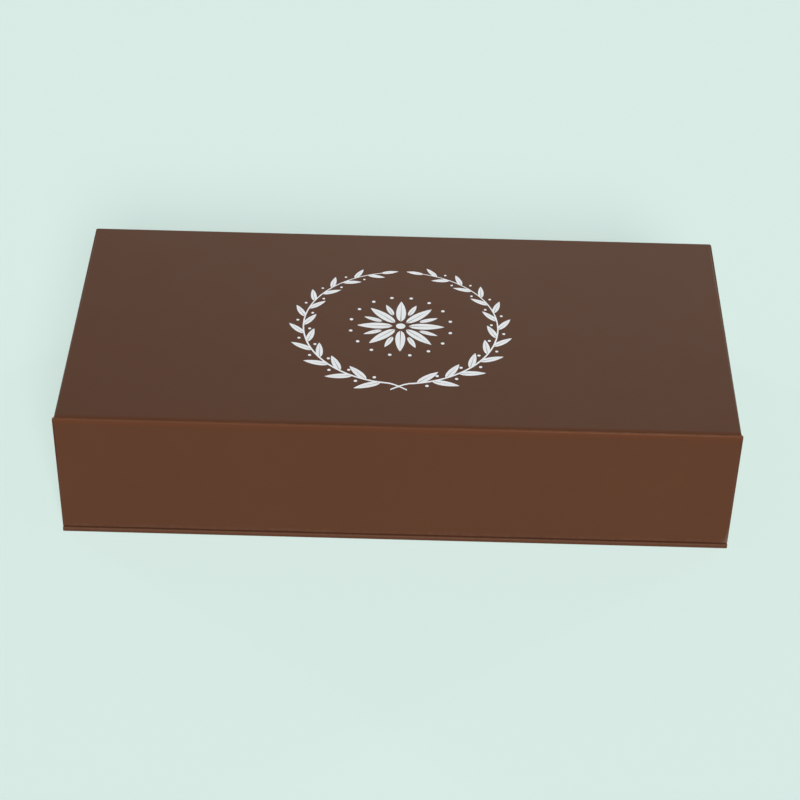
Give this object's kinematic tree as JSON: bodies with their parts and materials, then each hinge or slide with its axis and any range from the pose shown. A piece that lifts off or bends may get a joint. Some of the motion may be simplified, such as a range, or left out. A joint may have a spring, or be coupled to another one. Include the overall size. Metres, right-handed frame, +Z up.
{
  "type": "chocolate box",
  "caption": "Low, wide gift box for chocolates: book-style hinged lid, front flap that closes on hidden magnets, and a tray split into cells by slotted card dividers.",
  "frame": {"origin": "under the middle of the closed box, on the surface that it stands on", "axes": "+X to the right along the long side as seen from the flap, +Y from the flap back to the spine, +Z up"},
  "size_m": [0.3216, 0.167, 0.0671],
  "materials": {
    "cover_paper": "matte chocolate-brown cover paper",
    "lining_paper": "matte cream lining paper",
    "greyboard": "raw greyboard",
    "stay_paper": "raw kraft paper",
    "divider_card": "satin gold card",
    "magnet": "nickel-plated magnet"
  },
  "bodies": {
    "case": {"base_board": "greyboard", "base_wrap": "cover_paper", "base_liner": "lining_paper", "spine_board": "greyboard", "spine_wrap": "cover_paper", "spine_liner": "lining_paper", "base_fold": "cover_paper", "tray_front_wall": "greyboard", "tray_back_wall": "greyboard", "tray_left_wall": "greyboard", "tray_right_wall": "greyboard", "tray_floor": "greyboard", "tray_wrap": "cover_paper", "tray_liner": "lining_paper", "corner_stay_front_left": "stay_paper", "corner_stay_front_right": "stay_paper", "corner_stay_back_left": "stay_paper", "corner_stay_back_right": "stay_paper", "long_divider_1": "divider_card", "long_divider_2": "divider_card", "cross_divider_1": "divider_card", "cross_divider_2": "divider_card", "cross_divider_3": "divider_card", "cross_divider_4": "divider_card", "cross_divider_5": "divider_card", "tray_magnet_left": "magnet", "tray_magnet_right": "magnet"},
    "lid": {"lid_board": "greyboard", "lid_wrap": "cover_paper", "lid_liner": "lining_paper", "lid_fold": "cover_paper", "flap_fold": "cover_paper"},
    "flap": {"flap_board": "greyboard", "flap_wrap": "cover_paper", "flap_liner": "lining_paper", "flap_magnet_left": "magnet", "flap_magnet_right": "magnet"}
  },
  "joints": [
    {"name": "lid_hinge", "type": "hinge", "parent": "case", "child": "lid", "pos_m": [0, 0.0823, 0.0658], "axis": [-1, 0, 0], "range_deg": [0, 178], "deforming": ["lid_fold"]},
    {"name": "flap_hinge", "type": "hinge", "parent": "lid", "child": "flap", "pos_m": [0, -0.0814, 0.0664], "axis": [-1, 0, 0], "range_deg": [0, 178], "deforming": ["flap_fold"]}
  ]
}
